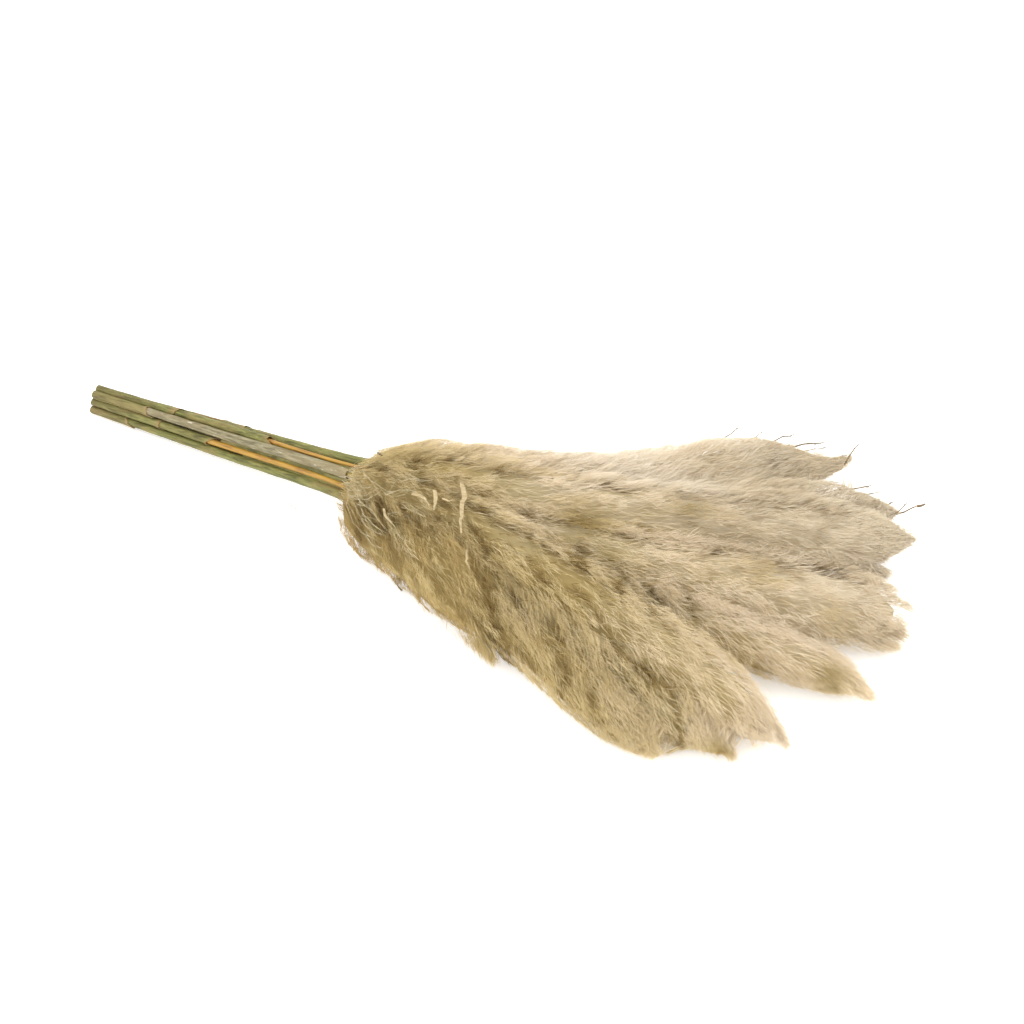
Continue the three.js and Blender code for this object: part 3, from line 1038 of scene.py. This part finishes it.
def loose_hairs(base, tip, width, rng):
    """The hairs of one loose tuft, as hairs_of gives them, drawn together towards its tip."""
    n = LOOSE_HAIRS
    base, tip = np.array(base) * MM, np.array(tip) * MM
    s = rng.random(n) ** 0.8 * 0.85
    line = base + (tip - base) * s[:, None]
    root = line + rng.normal(0, 0.5, (n, 3)) * (width * MM * (1.15 - s))[:, None]
    root = ENVELOPE.hold(root, 9 * MM)
    heading = unit(unit(tip - base) + rng.normal(0, 0.16, (n, 3)))
    length = rng.uniform(*LOOSE_HAIR_LENGTH, n) * MM
    end = root + heading * length[:, None]
    end += (tip - end) * (0.16 * s)[:, None]
    thick = rng.uniform(*HAIR_RADIUS, n) * MM
    return root, end, thick, rng.normal(0, 0.04, n), rng.normal(-0.05, 0.06, n)


def make_loose_tufts(material):
    rng = np.random.default_rng(SEED + 40)
    tufts = [loose_hairs(*tuft, rng) for tuft in LOOSE_TUFTS]
    hairs = [np.concatenate(rows) for rows in zip(*tufts)]
    piece = hair_piece("loose_tufts", hairs, rng, hair_shape(), material)
    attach(piece, "root")


# ---------------------------------------------------------------- loose bits

TWIGS = (  # bare stalk ends that stick out on the far side: base, tip and radius, mm
    ((207, 191, 30), (221, 212, 34), 0.8), ((260, 212, 30), (276, 224, 34), 0.9),
    ((271, 205, 30), (310, 225, 34), 1.1), ((313, 194, 30), (337, 217, 34), 1.2),
    ((342, 201, 50), (346, 221, 54), 0.9), ((352, 176, 30), (374, 186, 34), 0.9),
    ((391, 163, 30), (400, 173, 34), 1.0), ((401, 153, 30), (426, 179, 34), 1.1),
    ((232, 196, 34), (246, 214, 38), 0.7), ((290, 200, 36), (318, 214, 40), 0.7),
    ((365, 168, 36), (384, 176, 38), 0.7), ((402, 150, 36), (414, 172, 40), 0.8),
)
FIBRES_IN_A_TANGLE = 4
THROAT_FIBRES = (  # pale fibres tangled over the throat: two ends, mm
    ((-125, -46, 70), (-88, -64, 80)), ((-119, -44, 74), (-97, -50, 81)), ((-101, -58, 78), (-83, -67, 80)),
    ((-61, -79, 79), (-33, -94, 78)), ((-112, -60, 70), (-78, -52, 84)), ((-104, -40, 80), (-70, -60, 82)),
    ((-106, -66, 66), (-86, -84, 66)), ((-88, -84, 70), (-60, -96, 70)), ((-70, -58, 86), (-38, -48, 92)),
    ((-50, -66, 88), (-22, -78, 88)), ((-124, -34, 76), (-96, -28, 86)), ((-80, -100, 62), (-52, -108, 66)),
    ((-112, -50, 70), (-98, -66, 70)), ((-96, -70, 74), (-74, -88, 72)), ((-58, -40, 94), (-30, -30, 96)),
)
SCRAP_WALL = 0.3 * MM
SCRAPS = (  # dry leaf strips on the plumes: two ends and width, mm
    ((-3, -22, 95), (22, -80, 91), 5.0), ((-23, -45, 96), (-14, -65, 93), 4.0),
    ((-43, -55, 93), (-21, -61, 93), 3.6), ((-11, -52, 96), (2, -51, 98), 2.2),
    ((-66, -74, 82), (-50, -88, 80), 2.4), ((34, -96, 86), (44, -112, 82), 2.2),
)


def fine_strand():
    """One straight strand along X from 0 to 1, of radius 1, that thins to its tip."""
    return tube("strand", [(0, 0.8), (0.05, 1), (0.3, 1), (0.6, 0.9), (0.85, 0.75), (1, 0.4)], 6)


def wavering(start, end, steps, bow, waver, rng):
    """A line from start to end that bows aside and wavers a little, all in mm."""
    share = np.linspace(0, 1, steps)
    start, end = np.array(start, float), np.array(end, float)
    aside = unit(np.cross(end - start, (0, 0, 1.0)))
    line = start + (end - start) * share[:, None]
    line += np.outer(np.sin(math.pi * share) * bow, aside)
    line += rng.normal(0, waver, (steps, 3)) * np.sin(math.pi * share * 0.9)[:, None]
    return smooth_line(line * MM, 24)


def lay_strand(template, line, radius):
    """A copy of the strand laid along a line."""
    strand = template.copy()
    strand.data = template.data.copy()
    bpy.context.collection.objects.link(strand)
    length = steps_of(line).sum()
    for vertex in strand.data.vertices:
        vertex.co = (vertex.co.x * length, vertex.co.y * radius, vertex.co.z * radius)
    bend_along(strand, line)
    return strand


def make_strands(name, strands, material):
    """Joins strands into one piece."""
    deselect()
    for strand in strands:
        strand.select_set(True)
    bpy.context.view_layer.objects.active = strands[0]
    bpy.ops.object.join()
    piece = start_piece(name)
    surface(piece, material, 60)
    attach(piece, "root")


def dry_material(name, dark, light):
    """Dry plant matter, streaked along its length."""
    material, nodes, links = new_material(name)
    streaks = stretched_noise(nodes, links, (120, 500, 500), 3)
    tone = ramp(nodes, links, streaks, ((0.36, dark), (0.64, light)))
    finish_material(nodes, links, tone, 0.7)
    return material


def make_twigs(strand, rng):
    twigs = []
    for base, tip, radius in TWIGS:
        base, tip = np.array(base, float), np.array(tip, float)
        base -= unit(tip - base) * 12
        line = wavering(base, tip, 9, rng.uniform(-2, 2), 1.2, rng)
        twigs.append(lay_strand(strand, line, radius * MM))
        for share in (0.62, 0.8):
            knot = line[int(share * 23)] / MM
            spur = knot + (tip - base) * 0.22 + rng.normal(0, 2.5, 3)
            twigs.append(lay_strand(strand, wavering(knot, spur, 5, rng.uniform(-1, 1), 0.4, rng), 0.35 * MM))
    bud = wavering((423, 176, 33), (431, 181, 35), 5, 0.6, 0.1, rng)
    twigs.append(lay_strand(strand, bud, 1.6 * MM))
    bark = dry_material("stalk_end", srgb(92, 78, 58), srgb(134, 116, 88))
    make_strands("stalk_ends", twigs, bark)


def make_throat_fibres(strand, rng):
    fibres = []
    for start, end in THROAT_FIBRES:
        for _ in range(FIBRES_IN_A_TANGLE):
            first = np.array(start) + rng.normal(0, 2.5, 3)
            second = np.array(end) + rng.normal(0, 6, 3)
            line = wavering(first, second, 7, rng.normal(0, 6), 0.6, rng)
            line = ENVELOPE.hold(ENVELOPE.lift(line, -rng.uniform(0, 3) * MM), 3 * MM)
            fibres.append(lay_strand(strand, line, rng.uniform(0.14, 0.4) * MM))
    stray = wavering((-198, -44, 2), (-176, -51, 2), 5, 1, 0.1, rng)
    fibres.append(lay_strand(strand, stray, 0.35 * MM))
    pale = dry_material("fibre", srgb(142, 130, 96), srgb(184, 172, 140))
    make_strands("throat_fibres", fibres, pale)


def make_peelings(strand, rng):
    """Fibres that peel off the stems, and a broken stub at the throat."""
    peelings = [
        lay_strand(strand, wavering((-330, 7, 33), (-280, 4, 44), 6, 1.5, 0.2, rng), 0.6 * MM),
        lay_strand(strand, wavering((-270, 5, 36), (-246, 6, 41), 5, -1, 0.2, rng), 0.4 * MM),
    ]
    tan = dry_material("peeling", srgb(120, 92, 60), srgb(160, 128, 88))
    make_strands("peeling_fibres", peelings, tan)
    stub = lay_strand(strand, wavering((-112, 8, 62), (-99, -7, 79), 5, 0.5, 0.1, rng), 1 * MM)
    make_strands("broken_stub", [stub], dry_material("stub", srgb(58, 46, 30), srgb(92, 74, 48)))


def make_scraps(rng):
    """Short dry strips of leaf that lie on the plumes."""
    material = dry_material("leaf_scrap", srgb(138, 120, 86), srgb(172, 156, 120))
    for number, (start, end, width) in enumerate(SCRAPS, 1):
        line = wavering(start, end, 6, rng.normal(0, 2), 0.5, rng)
        line = ENVELOPE.hold(ENVELOPE.lift(line, -4.5 * MM), 6 * MM)
        length = steps_of(line).sum()
        scrap = flat_sheet(f"leaf_scrap_{number}", length, width * MM, 24, 4)
        for vertex in scrap.data.vertices:
            share = vertex.co.x / length
            taper = 0.35 + 0.65 * math.sin(math.pi * min(share * 0.8 + 0.25, 1))
            cup = (vertex.co.y / (width * MM)) ** 2 * 1.6 * MM
            vertex.co = (vertex.co.x, vertex.co.y * taper, cup)
        thicken(scrap, SCRAP_WALL, 0)
        bend_along(scrap, line)
        surface(scrap, material, 50)
        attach(scrap, "root")


def make_loose_bits():
    rng = np.random.default_rng(SEED + 60)
    strand = fine_strand()
    make_twigs(strand, rng)
    make_throat_fibres(strand, rng)
    make_peelings(strand, rng)
    make_scraps(rng)
    bpy.data.objects.remove(strand)


# ---------------------------------------------------------------- studio

def make_stage():
    deselect()
    bpy.ops.mesh.primitive_plane_add(size=12, location=(0, 0, 0))
    floor = start_piece("floor")
    material, nodes, links = new_material("floor")
    shader = nodes.new("ShaderNodeBsdfPrincipled")
    shader.inputs["Base Color"].default_value = (0.92, 0.92, 0.92, 1)
    shader.inputs["Roughness"].default_value = 0.9
    shader.inputs["Emission Color"].default_value = (1, 1, 1, 1)
    shader.inputs["Emission Strength"].default_value = 0.3
    to_output(nodes, links, shader)
    floor.data.materials.append(material)
    world = bpy.data.worlds.new("studio")
    bpy.context.scene.world = world
    world.use_nodes = True
    background = world.node_tree.nodes["Background"]
    background.inputs["Color"].default_value = (1.0, 0.99, 0.97, 1)
    background.inputs["Strength"].default_value = 1.5
    soft_box("key_light", place=(0.6, 0.5, 1.7), size=1.6, power=22, color=(1.0, 0.98, 0.95))
    soft_box("fill_light", place=(-0.9, -1.3, 1.3), size=1.8, power=14, color=(0.97, 0.98, 1.0))


def soft_box(name, place, size, power, color):
    light = bpy.data.lights.new(name, "AREA")
    light.size = size
    light.energy = power
    light.color = color
    lamp = bpy.data.objects.new(name, light)
    lamp.location = place
    lamp.rotation_euler = (-Vector(place)).to_track_quat("-Z", "Y").to_euler()
    bpy.context.collection.objects.link(lamp)


def make_camera():
    azimuth, elevation, distance = math.radians(22.4), math.radians(50), 2.1
    target = Vector((0.0279, 0.0347, 0.0))
    back = Vector((
        math.sin(azimuth) * math.cos(elevation),
        -math.cos(azimuth) * math.cos(elevation),
        math.sin(elevation),
    ))
    camera = bpy.data.objects.new("camera", bpy.data.cameras.new("camera"))
    camera.data.lens = 70
    camera.data.sensor_width = 36
    camera.location = target + back * distance
    camera.rotation_euler = back.to_track_quat("Z", "Y").to_euler()
    bpy.context.collection.objects.link(camera)
    bpy.context.scene.camera = camera
    bpy.context.scene.view_settings.view_transform = "Standard"


make_camera()
make_stage()
make_reeds()
plume_hair = plume_hair_material()
make_plumes(plume_hair)
make_loose_tufts(plume_hair)
make_loose_bits()
